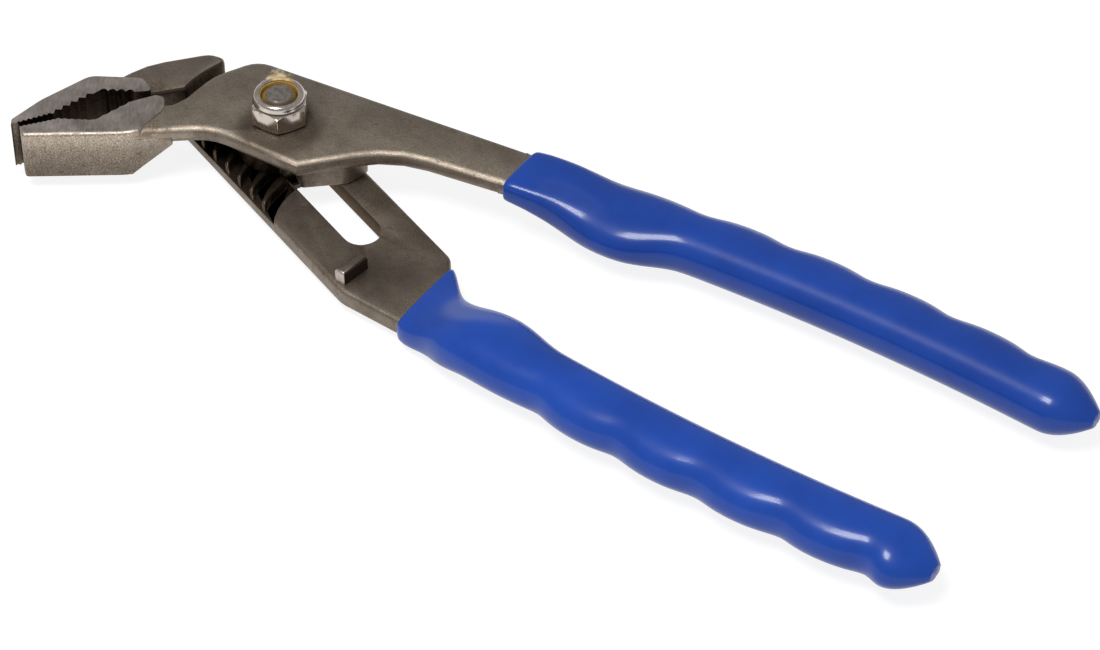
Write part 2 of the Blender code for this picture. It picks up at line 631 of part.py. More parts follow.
neck_top = UPPER_TOP - NECK_DROP
combine(groove_half, prism("neck", neck, LOWER_BOTTOM + 0.05 * MM, neck_top, edge=NECK_EDGE), "UNION")
combine(groove_half, prism("far_jaw_block", far_jaw, JAW_BOTTOM, UPPER_TOP + GROUND_RISE), "UNION")
combine(groove_half, prism("groove_pocket", first_wall + last_wall, FLOOR, NUT_TOP), "DIFFERENCE")
for k in range(POSITIONS - 1):
    inner_wall = arc_between(k * STEP, GROOVE_INNER, rail_start, rail_end)
    outer_wall = arc_between((k + 1) * STEP, GROOVE_OUTER, rail_end, rail_start)
    ridge = prism(f"ridge_{k + 1}", inner_wall + outer_wall, FLOOR - EMBED, RIDGE_TOP, edge=RIDGE_ROUND)
    combine(groove_half, ridge, "UNION")
combine(groove_half, prism("stop_lug", lug, LAND - LUG_ROUND, LAND + LUG_HEIGHT, edge=LUG_ROUND), "UNION")
combine(groove_half, lower_handle.tang("lower_tang"), "UNION")
combine(groove_half, prism("slot", slot, 0, NUT_TOP), "DIFFERENCE")
finish(groove_half, dark_steel)


# Pivot bolt: low round head, neck with two flats that slide in the slot, plain shank

bolt_end = NUT_TOP - POINT_RECESS
head_chamfer = 0.4 * MM
pivot_bolt = turned("pivot_bolt", [
    (0, bolt_end),
    (BOLT_POINT / 2, bolt_end),
    (BOLT_SHANK / 2, bolt_end - POINT_CHAMFER),
    (BOLT_SHANK / 2, LAND),
    (NECK_DIAMETER / 2, LAND),
    (NECK_DIAMETER / 2, HEAD_THICKNESS),
    (HEAD_DIAMETER / 2 - head_chamfer, HEAD_THICKNESS),
    (HEAD_DIAMETER / 2, HEAD_THICKNESS - head_chamfer),
    (HEAD_DIAMETER / 2, head_chamfer),
    (HEAD_DIAMETER / 2 - head_chamfer, 0),
    (0, 0),
], False, product)
for side in (-1, 1):
    flat = side * (SLOT_WIDTH / 2 - SIDE_GAP)
    beside = [along_slot(s, t) for s, t in ((-NECK_DIAMETER, flat), (NECK_DIAMETER, flat),
                                            (NECK_DIAMETER, 2 * flat), (-NECK_DIAMETER, 2 * flat))]
    cutter = prism(f"neck_flat_{side}", beside, HEAD_THICKNESS + 0.1 * MM, LAND + SEAT_GAP)
    combine(pivot_bolt, cutter, "DIFFERENCE")
finish(pivot_bolt, bolt_steel)


# Lock nut: chamfered hexagon and round collar, with a pocket for the insert

hex_top = NUT_SEAT + NUT_HEX
lip_under = NUT_TOP - LIP_THICKNESS
pocket_floor = lip_under - INSERT_HEIGHT - 2 * INSERT_PLAY
corner = NUT_FLATS / 2 / math.cos(math.pi / 6)
collar_rim = []
for turn in (90, 67.5, 45, 22.5, 0):
    across, up = math.cos(math.radians(turn)), math.sin(math.radians(turn))
    collar_rim.append((COLLAR_DIAMETER / 2 - COLLAR_ROUND * (1 - across), NUT_TOP - COLLAR_ROUND * (1 - up)))
lock_nut = turned("lock_nut", [
    (COLLAR_LIP / 2, NUT_TOP - LIP_THICKNESS / 2),
    *collar_rim,
    (COLLAR_DIAMETER / 2, hex_top),
    (corner, hex_top - NUT_CHAMFER),
    (corner, NUT_SEAT + 0.45 * MM),
    (NUT_FLATS / 2 - 0.1 * MM, NUT_SEAT),
    (BOLT_SHANK / 2 + SIDE_GAP, NUT_SEAT),
    (BOLT_SHANK / 2 + SIDE_GAP, pocket_floor),
    (INSERT_DIAMETER / 2, pocket_floor),
    (INSERT_DIAMETER / 2, lip_under),
    (COLLAR_LIP / 2, lip_under),
], True, product)
hexagon = []
for k in range(6):
    a = NUT_TURN + math.pi * k / 3
    hexagon.append((corner * math.cos(a), corner * math.sin(a)))
combine(lock_nut, prism("nut_hexagon", hexagon, UPPER_BOTTOM, NUT_TOP + NUT_HEX), "INTERSECT")
finish(lock_nut, nut_steel)


# Nylon ring, held in the nut's pocket by the lip

nylon_ring = turned("nylon_ring", [
    (BOLT_SHANK / 2 + SIDE_GAP, lip_under - INSERT_PLAY),
    (INSERT_DIAMETER / 2 - INSERT_PLAY, lip_under - INSERT_PLAY),
    (INSERT_DIAMETER / 2 - INSERT_PLAY, pocket_floor + INSERT_PLAY),
    (BOLT_SHANK / 2 + SIDE_GAP, pocket_floor + INSERT_PLAY),
], True, product)
finish(nylon_ring, nylon)


# Vinyl grips

upper_grip = upper_handle.grip("upper_grip")
finish(upper_grip, upper_vinyl)
lower_grip = lower_handle.grip("lower_grip")
finish(lower_grip, lower_vinyl)


# Everything that slides in the slot hangs on the pivot axis; the upper half also turns on it

pivot_axis = bpy.data.objects.new("pivot_axis", None)
construction.objects.link(pivot_axis)
for moving in (pivot_bolt, lock_nut, nylon_ring, tongue_half, upper_grip):
    moving.parent = pivot_axis
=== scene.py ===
import math

import bmesh
import bpy
from mathutils import Matrix, Vector


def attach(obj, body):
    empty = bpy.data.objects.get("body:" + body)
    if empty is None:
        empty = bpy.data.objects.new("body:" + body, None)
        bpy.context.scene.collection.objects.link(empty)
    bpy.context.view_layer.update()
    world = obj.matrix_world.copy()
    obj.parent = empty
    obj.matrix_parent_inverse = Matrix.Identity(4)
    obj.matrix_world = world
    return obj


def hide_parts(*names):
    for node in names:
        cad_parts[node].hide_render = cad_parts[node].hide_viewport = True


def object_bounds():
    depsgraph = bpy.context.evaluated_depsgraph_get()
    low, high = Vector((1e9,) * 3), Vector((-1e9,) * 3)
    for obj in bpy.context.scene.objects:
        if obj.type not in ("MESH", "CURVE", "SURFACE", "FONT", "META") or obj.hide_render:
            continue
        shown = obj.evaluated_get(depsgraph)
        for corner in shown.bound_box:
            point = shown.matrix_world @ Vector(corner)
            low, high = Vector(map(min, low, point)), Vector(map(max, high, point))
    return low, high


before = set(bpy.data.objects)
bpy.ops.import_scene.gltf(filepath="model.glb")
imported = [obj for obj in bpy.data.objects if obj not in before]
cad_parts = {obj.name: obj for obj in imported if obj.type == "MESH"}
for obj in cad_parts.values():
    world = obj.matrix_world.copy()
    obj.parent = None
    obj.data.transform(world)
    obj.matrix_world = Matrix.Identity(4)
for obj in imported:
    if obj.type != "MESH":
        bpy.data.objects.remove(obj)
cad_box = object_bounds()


# Lower half: a drop forging in carbon steel with the far jaw, the slotted arm and its ridges.
# It is shot-blasted after forging, so the skin is a dull, grainy grey-brown, and only the upper
# face of the jaw is ground bright.

MM = 0.001

jaw_angle = math.radians(33.7)
jaw_line = Vector((math.cos(jaw_angle), math.sin(jaw_angle), 0))
jaw_front = Vector((jaw_line.y, -jaw_line.x, 0))
slot_angle = math.radians(-21.8)
slot_line = Vector((math.cos(slot_angle), math.sin(slot_angle), 0))
rail_side = Vector((slot_line.y, -slot_line.x, 0))

# Places on the forging in millimetres: heights above the table, then distances from the pivot
# along the jaws, and along and across the slot.
ground_level = 16.5
below_ground = 16.3
neck_level = 12.9
above_ridges = 8.1
bite_foot = 7
above_arm = 6.9
groove_floor = 5.3
below_grooves = 5.1
neck_foot = 3
bite_tip = -59.3
bite_end = -29
neck_end = -12
slot_start = -20
lug_start = 40
slot_half_width = 4.9
rail_reach = 14


def srgb(code):
    """Linear colour from an sRGB hex code."""
    shades = [int(code[k:k + 2], 16) / 255 for k in (0, 2, 4)]
    return (*[s / 12.92 if s <= 0.04045 else ((s + 0.055) / 1.055) ** 2.4 for s in shades], 1)


def node(tree, kind, inputs, **settings):
    """Adds one shader node: its settings, and a value or a link for each of its named inputs."""
    made = tree.nodes.new(kind)
    for name, value in settings.items():
        setattr(made, name, value)
    for name, value in inputs.items():
        if isinstance(value, bpy.types.NodeSocket):
            tree.links.new(value, made.inputs[name])
        else:
            made.inputs[name].default_value = value
    return made


def blank(name):
    """A new material that has no nodes yet, and its node tree."""
    material = bpy.data.materials.new(name)
    material.use_nodes = True
    material.node_tree.nodes.clear()
    return material, material.node_tree


def welded(name):
    """The CAD node's loose triangles as one connected mesh."""
    bm = bmesh.new()
    bm.from_mesh(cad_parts[name].data)
    bmesh.ops.remove_doubles(bm, verts=bm.verts[:], dist=0.002 * MM)
    return bm


def merged(name):
    """The CAD node as one connected mesh, with its flat triangles joined again."""
    bm = welded(name)
    bmesh.ops.dissolve_limit(bm, angle_limit=math.radians(0.4), verts=bm.verts[:], edges=bm.edges[:])
    return bm


def soften(bm, width, angle, wanted):
    """Breaks the edges sharper than the angle with a small round, if both their ends pass the test."""
    sharp = [e for e in bm.edges if len(e.link_faces) == 2 and e.calc_face_angle() > math.radians(angle)
             and all(wanted(v.co / MM) for v in e.verts)]
    bmesh.ops.bevel(bm, geom=sharp, offset=width, offset_type="OFFSET", affect="EDGES", segments=2,
                    profile=0.5, material=-1, clamp_overlap=False, loop_slide=True)


def piece(name, bm, materials, angle):
    """Makes the finished mesh an object, smooth except over edges sharper than the angle."""
    mesh = bpy.data.meshes.new(name)
    bm.to_mesh(mesh)
    bm.free()
    mesh.shade_smooth()
    mesh.set_sharp_from_angle(angle=math.radians(angle))
    for material in materials:
        mesh.materials.append(material)
    made = bpy.data.objects.new(name, mesh)
    bpy.context.scene.collection.objects.link(made)
    return made


def blasted_steel(name, pale, dark, scale, scar, reach, top_light):
    """Forged steel after shot-blasting: a matt, sparkling grain over slow changes of tone.

    The blast pits are drawn 0.34 mm wide, coarser than real ones, so that they show.  Round the
    scar, where the grinding wheel stopped, the torn skin stays rough and brown.  The front of a
    jaw has a sandy grain; it is painted lighter towards its upper edge as light, and darker lower
    down as shade.
    """
    material, tree = blank(name)
    place = node(tree, "ShaderNodeTexCoord", {}).outputs["Object"]
    cloud = node(tree, "ShaderNodeTexNoise", {
        "Vector": place, "Scale": 1 / (11 * MM), "Detail": 4.0, "Roughness": 0.6})
    grain = node(tree, "ShaderNodeTexNoise", {
        "Vector": place, "Scale": 1 / (0.34 * MM), "Detail": 3.0, "Roughness": 0.65})
    scab = node(tree, "ShaderNodeTexNoise", {
        "Vector": place, "Scale": 1 / (2.6 * MM), "Detail": 5.0, "Roughness": 0.7})
    spread = node(tree, "ShaderNodeMapRange", {
        "Value": cloud.outputs["Fac"], "From Min": 0.35, "From Max": 0.66})
    tone = node(tree, "ShaderNodeMix", {
        "Factor": spread.outputs["Result"], "A": srgb(dark), "B": srgb(pale)}, data_type="RGBA")
    away = node(tree, "ShaderNodeVectorMath", {0: place, 1: scar}, operation="DISTANCE")
    near_scar = node(tree, "ShaderNodeMapRange", {
        "Value": away.outputs["Value"], "From Min": reach, "From Max": 0.3 * reach, "To Max": 0.24},
        interpolation_type="SMOOTHSTEP")
    torn = node(tree, "ShaderNodeMath", {
        0: scab.outputs["Fac"], 1: near_scar.outputs["Result"]}, operation="ADD")
    scabs = node(tree, "ShaderNodeMapRange", {
        "Value": torn.outputs["Value"], "From Min": 0.58, "From Max": 0.74, "To Max": 0.6})
    scaled = node(tree, "ShaderNodeMix", {
        "Factor": scabs.outputs["Result"], "A": tone.outputs["Result"], "B": srgb(scale)},
        data_type="RGBA")
    jawward = node(tree, "ShaderNodeVectorMath", {0: place, 1: jaw_line}, operation="DOT_PRODUCT")
    on_jaw = node(tree, "ShaderNodeMapRange", {
        "Value": jawward.outputs["Value"], "From Min": -26 * MM, "From Max": -34 * MM})
    height = node(tree, "ShaderNodeSeparateXYZ", {"Vector": place})
    # Painted light: the front of a jaw turns lighter towards its upper edge.
    upper = node(tree, "ShaderNodeMapRange", {
        "Value": height.outputs["Z"], "From Min": 11 * MM, "From Max": 16.6 * MM, "To Max": top_light})
    lit = node(tree, "ShaderNodeMath", {
        0: on_jaw.outputs["Result"], 1: upper.outputs["Result"]}, operation="MULTIPLY")
    bright = node(tree, "ShaderNodeMix", {
        "Factor": lit.outputs["Value"], "A": scaled.outputs["Result"], "B": srgb("e2d3bf")},
        data_type="RGBA")
    # Painted shade: the front of a jaw turns darker and browner lower down.
    lower = node(tree, "ShaderNodeMapRange", {
        "Value": height.outputs["Z"], "From Min": 13.5 * MM, "From Max": 5 * MM, "To Max": 0.4})
    stained = node(tree, "ShaderNodeMath", {
        0: on_jaw.outputs["Result"], 1: lower.outputs["Result"]}, operation="MULTIPLY")
    shaded_front = node(tree, "ShaderNodeMix", {
        "Factor": stained.outputs["Value"], "A": bright.outputs["Result"], "B": srgb("4a3a2b")},
        data_type="RGBA")
    sparkle = node(tree, "ShaderNodeMapRange", {
        "Value": grain.outputs["Fac"], "From Min": 0.3, "From Max": 0.7, "To Min": 0.74, "To Max": 1.28})
    grit = node(tree, "ShaderNodeMapRange", {
        "Value": on_jaw.outputs["Result"], "To Min": 1.0, "To Max": 2.4})
    glints = node(tree, "ShaderNodeMath", {
        0: sparkle.outputs["Result"], 1: grit.outputs["Result"]}, operation="POWER")
    colour = node(tree, "ShaderNodeVectorMath", {
        0: shaded_front.outputs["Result"], 1: glints.outputs["Value"]}, operation="MULTIPLY")
    rough = node(tree, "ShaderNodeMapRange", {
        "Value": torn.outputs["Value"], "From Min": 0.3, "From Max": 0.8, "To Min": 0.42, "To Max": 0.62})
    swell = node(tree, "ShaderNodeBump", {
        "Height": cloud.outputs["Fac"], "Strength": 0.5, "Distance": 0.35 * MM})
    tears = node(tree, "ShaderNodeBump", {
        "Height": scabs.outputs["Result"], "Normal": swell.outputs["Normal"], "Strength": 0.5,
        "Distance": 0.12 * MM})
    pits = node(tree, "ShaderNodeBump", {
        "Height": grain.outputs["Fac"], "Normal": tears.outputs["Normal"], "Strength": 0.75,
        "Distance": 0.08 * MM})
    steel = node(tree, "ShaderNodeBsdfPrincipled", {
        "Base Color": colour.outputs["Vector"], "Roughness": rough.outputs["Result"],
        "Normal": pits.outputs["Normal"], "Metallic": 1.0})
    node(tree, "ShaderNodeOutputMaterial", {"Surface": steel.outputs["BSDF"]})
    return material


def ground_steel(name, pale, dark):
    """The jaws' upper faces, surface-ground across the jaws: cooler, with fine cross lines.

    The lines are drawn 0.4 mm apart, coarser than real ones, so that they show.
    """
    material, tree = blank(name)
    place = node(tree, "ShaderNodeTexCoord", {}).outputs["Object"]
    across = node(tree, "ShaderNodeMapping", {
        "Vector": place, "Rotation": (0, 0, jaw_angle), "Scale": (1, 5, 1)}, vector_type="TEXTURE")
    lines = node(tree, "ShaderNodeTexNoise", {
        "Vector": across.outputs["Vector"], "Scale": 1 / (0.4 * MM), "Detail": 3.0, "Roughness": 0.6})
    cloud = node(tree, "ShaderNodeTexNoise", {
        "Vector": place, "Scale": 1 / (5 * MM), "Detail": 3.0, "Roughness": 0.6})
    blend = node(tree, "ShaderNodeMath", {
        0: lines.outputs["Fac"], 1: cloud.outputs["Fac"]}, operation="ADD")
    spread = node(tree, "ShaderNodeMapRange", {
        "Value": blend.outputs["Value"], "From Min": 0.7, "From Max": 1.3})
    tone = node(tree, "ShaderNodeMix", {
        "Factor": spread.outputs["Result"], "A": srgb(dark), "B": srgb(pale)}, data_type="RGBA")
    rough = node(tree, "ShaderNodeMapRange", {
        "Value": cloud.outputs["Fac"], "From Min": 0.3, "From Max": 0.7, "To Min": 0.36, "To Max": 0.48})
    scratch = node(tree, "ShaderNodeBump", {
        "Height": lines.outputs["Fac"], "Strength": 0.35, "Distance": 0.04 * MM})
    steel = node(tree, "ShaderNodeBsdfPrincipled", {
        "Base Color": tone.outputs["Result"], "Roughness": rough.outputs["Result"],
        "Normal": scratch.outputs["Normal"], "Metallic": 1.0})
    node(tree, "ShaderNodeOutputMaterial", {"Surface": steel.outputs["BSDF"]})
    return material


def painted_shade_steel(name, pale, dark):
    """Brown-black, rough steel, used as painted shade in the teeth, the recesses and under the plate.
    brown-black, rough.

    Even a glancing reflection in it is brown, as the oxide is.
    """
    material, tree = blank(name)
    place = node(tree, "ShaderNodeTexCoord", {}).outputs["Object"]
    crust = node(tree, "ShaderNodeTexNoise", {
        "Vector": place, "Scale": 1 / (1.5 * MM), "Detail": 5.0, "Roughness": 0.65})
    tone = node(tree, "ShaderNodeMix", {
        "Factor": crust.outputs["Fac"], "A": srgb(dark), "B": srgb(pale)}, data_type="RGBA")
    pits = node(tree, "ShaderNodeBump", {
        "Height": crust.outputs["Fac"], "Strength": 0.6, "Distance": 0.15 * MM})
    steel = node(tree, "ShaderNodeBsdfPrincipled", {
        "Base Color": tone.outputs["Result"], "Roughness": 0.42, "Normal": pits.outputs["Normal"],
        "Metallic": 1.0, "Specular Tint": srgb("eee1d2")})
    node(tree, "ShaderNodeOutputMaterial", {"Surface": steel.outputs["BSDF"]})
    return material


def paint(bm, index, wanted):
    """Gives the finish of that index to the faces whose middle, in mm, and normal pass the test."""
    for face in bm.faces:
        if wanted(face.calc_center_median() / MM, face.normal):
            face.material_index = index


def lighter_neck_top(middle, normal):
    """The upper side of the far jaw's neck, painted a lighter tone."""
    return middle.z > neck_level and normal.z > 0.1


def on_ground(middle, normal):
    """The jaws' ground upper faces."""
    return normal.z > 0.98 and middle.z > ground_level


def in_painted_dark(middle, normal):
    """The far jaw's teeth and the walls of the slot, painted dark as shade."""
    on_teeth = bite_tip < middle.dot(jaw_line) < bite_end and middle.z > bite_foot
    in_bite = on_teeth and normal.dot(jaw_front) > 0.05
    along, across = middle.dot(slot_line), middle.dot(rail_side)
    in_slot = abs(across) < slot_half_width and along > slot_start and normal.z < 0.2
    return in_bite or in_slot


def in_shade(middle, normal):
    """Painted shade on the neck's inner wall, the grooves and ridges under the plate and one side of the
    lug.
    """
    along, across = middle.dot(slot_line), middle.dot(rail_side)
    beside_plate = bite_end < middle.dot(jaw_line) < neck_end and middle.z > neck_foot
    on_neck = beside_plate and normal.dot(jaw_front) > 0.3
    on_rail = slot_half_width < across < rail_reach and along < lug_start
    in_groove = on_rail and below_grooves < middle.z < above_ridges and (
        middle.z > above_arm or normal.z < 0.2 or middle.z < groove_floor)
    on_lug = middle.z > above_arm and along > lug_start and normal.dot(slot_line) > 0.4
    return on_neck or on_lug or in_groove


def lit_lug_end(middle, normal):
    """The front end of the stop lug, painted bright as a highlight."""
    return middle.z > above_arm and middle.dot(slot_line) > lug_start and normal.dot(rail_side) > 0.4


def clear_of_lug(at):
    """Below the ground faces, and not on the stop lug, which is rounded already."""
    near_lug = at.z > above_arm - 0.2 and at.dot(slot_line) > lug_start - 2
    return at.z < below_ground and not near_lug


neck_scar = (-30 * MM, -7 * MM, 15 * MM)
lower_steel = blasted_steel("shot-blasted carbon steel, lower forging", pale="8c8074", dark="73685d",
                            scale="57432f", scar=neck_scar, reach=5 * MM, top_light=0.1)
lighter_neck_steel = blasted_steel("shot-blasted carbon steel, lighter-toned neck", pale="988c80", dark="7f7468",
                           scale="5e4936", scar=neck_scar, reach=5 * MM, top_light=0.1)
ground = ground_steel("ground carbon steel", pale="c8beb6", dark="978d86")
teeth_slot_shade = painted_shade_steel("dark steel, painted shade in teeth and slot", pale="4a3f36", dark="1c1714")
recess_shade = painted_shade_steel("oily blast shadow", pale="6c5e52", dark="2e2721")
lower_finishes = [lower_steel, ground, teeth_slot_shade, recess_shade, lighter_neck_steel]

lower_mesh = merged("groove_half")
soften(lower_mesh, width=0.15 * MM, angle=38, wanted=clear_of_lug)
# The upper side of the neck gets a lighter tone.
paint(lower_mesh, lower_finishes.index(lighter_neck_steel), lighter_neck_top)
paint(lower_mesh, lower_finishes.index(ground), on_ground)
# Painted shade: the far jaw's teeth and the slot walls are dark.
paint(lower_mesh, lower_finishes.index(teeth_slot_shade), in_painted_dark)
# Painted shade: the neck's inner wall, the grooves and ridges and one side of the lug are dark.
paint(lower_mesh, lower_finishes.index(recess_shade), in_shade)
# Painted highlight: the lug's front end is bright.
paint(lower_mesh, lower_finishes.index(ground), lit_lug_end)
lower_half = piece("groove_half_forging", lower_mesh, lower_finishes, angle=32)
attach(lower_half, "lower_half")
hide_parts("groove_half")


# Upper half: the second drop forging, with the near jaw and the plate that the nut clamps.
# Same steel and same blasting; the front of the jaw keeps the sandy skin of the forging die.
# The plate is painted darker round the nut as its shade and dark reflection, and a dab of
# thread-lock has dried behind it.


def painted_shade_round(material, middle, reach, colour):
    """Darkens a steel round one place, as painted shade and a dark reflection round the foot of the nut.
    """
    tree = material.node_tree
    steel = tree.nodes["Principled BSDF"]
    unshaded = steel.inputs["Base Color"].links[0].from_socket
    place = node(tree, "ShaderNodeTexCoord", {}).outputs["Object"]
    away = node(tree, "ShaderNodeVectorMath", {0: place, 1: middle}, operation="DISTANCE")
    # Painted shade: darker towards the nut.
    wet = node(tree, "ShaderNodeMapRange", {
        "Value": away.outputs["Value"], "From Min": reach, "From Max": 0.62 * reach, "To Max": 0.62},
        interpolation_type="SMOOTHSTEP")
    tone = node(tree, "ShaderNodeMix", {
        "Factor": wet.outputs["Result"], "A": unshaded, "B": srgb(colour)}, data_type="RGBA")
    tree.links.new(tone.outputs["Result"], steel.inputs["Base Color"])


def smear(material, middle, turn, radii, thick, thin):
    """Adds a dab of dried thread-lock to a steel: a crust with a ragged edge, amber where it is thin."""
    tree = material.node_tree
    out = tree.get_output_node("ALL")
    steel = out.inputs["Surface"].links[0].from_socket
    place = node(tree, "ShaderNodeTexCoord", {}).outputs["Object"]
    local = node(tree, "ShaderNodeMapping", {
        "Vector": place, "Location": middle, "Rotation": (0, 0, turn), "Scale": radii},
        vector_type="TEXTURE")
    away = node(tree, "ShaderNodeVectorMath", {0: local.outputs["Vector"]}, operation="LENGTH")
    crumbs = node(tree, "ShaderNodeTexNoise", {
        "Vector": place, "Scale": 1 / (1.6 * MM), "Detail": 4.0, "Roughness": 0.65})
    ragged = node(tree, "ShaderNodeMath", {
        0: crumbs.outputs["Fac"], 1: 1.5, 2: away.outputs["Value"]}, operation="MULTIPLY_ADD")
    cover = node(tree, "ShaderNodeMapRange", {
        "Value": ragged.outputs["Value"], "From Min": 1.8, "From Max": 1.4})
    depth = node(tree, "ShaderNodeMapRange", {
        "Value": crumbs.outputs["Fac"], "From Min": 0.35, "From Max": 0.6})
    tone = node(tree, "ShaderNodeMix", {
        "Factor": depth.outputs["Result"], "A": srgb(thick), "B": srgb(thin)}, data_type="RGBA")
    lumps = node(tree, "ShaderNodeBump", {
        "Height": crumbs.outputs["Fac"], "Strength": 0.6, "Distance": 0.3 * MM})
    crust = node(tree, "ShaderNodeBsdfPrincipled", {
        "Base Color": tone.outputs["Result"], "Roughness": 0.5, "Normal": lumps.outputs["Normal"]})
    both = node(tree, "ShaderNodeMixShader", {
        "Fac": cover.outputs["Result"], 1: steel, 2: crust.outputs["BSDF"]})
    tree.links.new(both.outputs["Shader"], out.inputs["Surface"])


def shaded_below_plate(middle, normal):
    """The sides and the underside of the plate, the hub and the handle bar: painted darker as shade."""
    side_level, jaw_root = 15.6, -25
    return middle.z < side_level and normal.z < 0.3 and middle.dot(jaw_line) > jaw_root


def round_tongue(middle, normal):
    """Under the plate, round the hub and the tongue: painted dark as shade."""
    plate_level, left, right, front = 12, -22, 6, -11
    return middle.z < plate_level and left < middle.x < right and middle.y > front


def on_jaw_edge(middle, normal):
    """The rounded upper edge along the front of the near jaw: painted bright as a highlight."""
    edge_level, edge_line, edge_end = 15.9, 4.5, -30
    along_front = middle.dot(jaw_front) > edge_line and middle.dot(jaw_line) < edge_end
    return along_front and middle.z > edge_level and 0.1 < normal.z < 0.97


jaw_scar = (-24.4 * MM, -19 * MM, 16.5 * MM)
upper_steel = blasted_steel("shot-blasted carbon steel, upper forging", pale="9f9385", dark="8a7f72",
                            scale="624d3a", scar=jaw_scar, reach=6 * MM, top_light=0.45)
# Painted shade and dark reflection round the foot of the nut.
painted_shade_round(upper_steel, middle=(2.1 * MM, -3.2 * MM, 16.8 * MM), reach=12 * MM, colour="43372d")
smear(upper_steel, middle=(-6.6 * MM, 8.2 * MM, 16.8 * MM), turn=math.radians(128),
      radii=(6.1 * MM, 3.9 * MM, 3 * MM), thick="cfc3ab", thin="b79a63")
# Painted highlight: a lighter steel for the near jaw's rounded upper front edge.
edge_highlight_steel = blasted_steel("forged steel, edge rubbed bright", pale="a89c8e", dark="8f8478",
                           scale="7d6c5b", scar=jaw_scar, reach=1 * MM, top_light=0.2)
under_plate_shade = painted_shade_steel("dark steel, painted shade under the plate", pale="4a3f36", dark="1c1714")
upper_finishes = [upper_steel, ground, under_plate_shade, edge_highlight_steel, lower_steel]

upper_mesh = merged("tongue_half")
brow = [e for e in upper_mesh.edges
        if all(v.co.z > ground_level * MM and v.co.dot(jaw_front) > 5.2 * MM for v in e.verts)]
bmesh.ops.bevel(upper_mesh, geom=brow, offset=0.85 * MM, offset_type="OFFSET", affect="EDGES", segments=4,
                profile=0.5, material=-1, clamp_overlap=False)
soften(upper_mesh, width=0.15 * MM, angle=38, wanted=lambda at: at.z < below_ground)
# Painted shade: the plate's sides and underside, the hub and the bar take the darker lower steel.
paint(upper_mesh, upper_finishes.index(lower_steel), shaded_below_plate)
paint(upper_mesh, upper_finishes.index(ground), on_ground)
# Painted shade: dark round the hub and the tongue.
paint(upper_mesh, upper_finishes.index(under_plate_shade), round_tongue)
# Painted highlight: the near jaw's rounded upper front edge.
paint(upper_mesh, upper_finishes.index(edge_highlight_steel), on_jaw_edge)
upper_half = piece("tongue_half_forging", upper_mesh, upper_finishes, angle=32)
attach(upper_half, "upper_half")
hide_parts("tongue_half")


# Pivot bolt: turned from bar, with a low round head underneath; its head and neck are painted dark as
# shade. Its cropped end shows inside the nut as a dull grey disc, with a curl of shaved nylon round it.

bolt_steel, tree = blank("turned steel, left as cut")
place = node(tree, "ShaderNodeTexCoord", {}).outputs["Object"]
smut = node(tree, "ShaderNodeTexNoise", {
    "Vector": place, "Scale": 1 / (1.3 * MM), "Detail": 5.0, "Roughness": 0.7})
spread = node(tree, "ShaderNodeMapRange", {
    "Value": smut.outputs["Fac"], "From Min": 0.35, "From Max": 0.65})
tone = node(tree, "ShaderNodeMix", {
    "Factor": spread.outputs["Result"], "A": srgb("827a76"), "B": srgb("b2aaa5")}, data_type="RGBA")
height = node(tree, "ShaderNodeSeparateXYZ", {"Vector": place})
# Painted shade: the bolt darkens towards its head.
low_shade = node(tree, "ShaderNodeMapRange", {
    "Value": height.outputs["Z"], "From Min": 9 * MM, "From Max": 4 * MM, "To Max": 0.85})
stained = node(tree, "ShaderNodeMix", {
    "Factor": low_shade.outputs["Result"], "A": tone.outputs["Result"], "B": srgb("2e2721")},
    data_type="RGBA")
dents = node(tree, "ShaderNodeBump", {
    "Height": smut.outputs["Fac"], "Strength": 0.5, "Distance": 0.15 * MM})
steel = node(tree, "ShaderNodeBsdfPrincipled", {
    "Base Color": stained.outputs["Result"], "Roughness": 0.42, "Normal": dents.outputs["Normal"],
    "Metallic": 1.0})
flat = node(tree, "ShaderNodeVectorMath", {0: place, 1: (1, 1, 0)}, operation="MULTIPLY")
radius = node(tree, "ShaderNodeVectorMath", {0: flat.outputs["Vector"]}, operation="LENGTH")
rim = node(tree, "ShaderNodeMapRange", {
    "Value": radius.outputs["Value"], "From Min": 2.9 * MM, "From Max": 3.2 * MM})
in_nut = node(tree, "ShaderNodeMath", {0: height.outputs["Z"], 1: 21 * MM}, operation="GREATER_THAN")
shaved = node(tree, "ShaderNodeMath", {
    0: rim.outputs["Result"], 1: in_nut.outputs["Value"]}, operation="MULTIPLY")
# The shaved nylon is darker towards the front and amber towards the back.
behind = node(tree, "ShaderNodeVectorMath", {0: place, 1: (-0.63, 0.78, 0)}, operation="DOT_PRODUCT")
towards_back = node(tree, "ShaderNodeMapRange", {
    "Value": behind.outputs["Value"], "From Min": -2.5 * MM, "From Max": 3.5 * MM})
amber = node(tree, "ShaderNodeMix", {
    "Factor": towards_back.outputs["Result"], "A": srgb("5a4c3b"), "B": srgb("c39a4c")}, data_type="RGBA")
curl = node(tree, "ShaderNodeBsdfPrincipled", {
    "Base Color": amber.outputs["Result"], "Roughness": 0.45, "IOR": 1.53})
ended = node(tree, "ShaderNodeMixShader", {
    "Fac": shaved.outputs["Value"], 1: steel.outputs["BSDF"], 2: curl.outputs["BSDF"]})
node(tree, "ShaderNodeOutputMaterial", {"Surface": ended.outputs["Shader"]})

bolt = piece("pivot_bolt_turned", merged("pivot_bolt"), [bolt_steel], angle=30)
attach(bolt, "pivot")
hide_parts("pivot_bolt")


# Lock nut: cold-formed hexagon with a round collar, bright-plated, so it is smoother and lighter
# than the forgings and its collar takes a clear highlight.  The step under the collar is painted
# with a dark line as shade, and the dried thread-lock reaches over its rear.

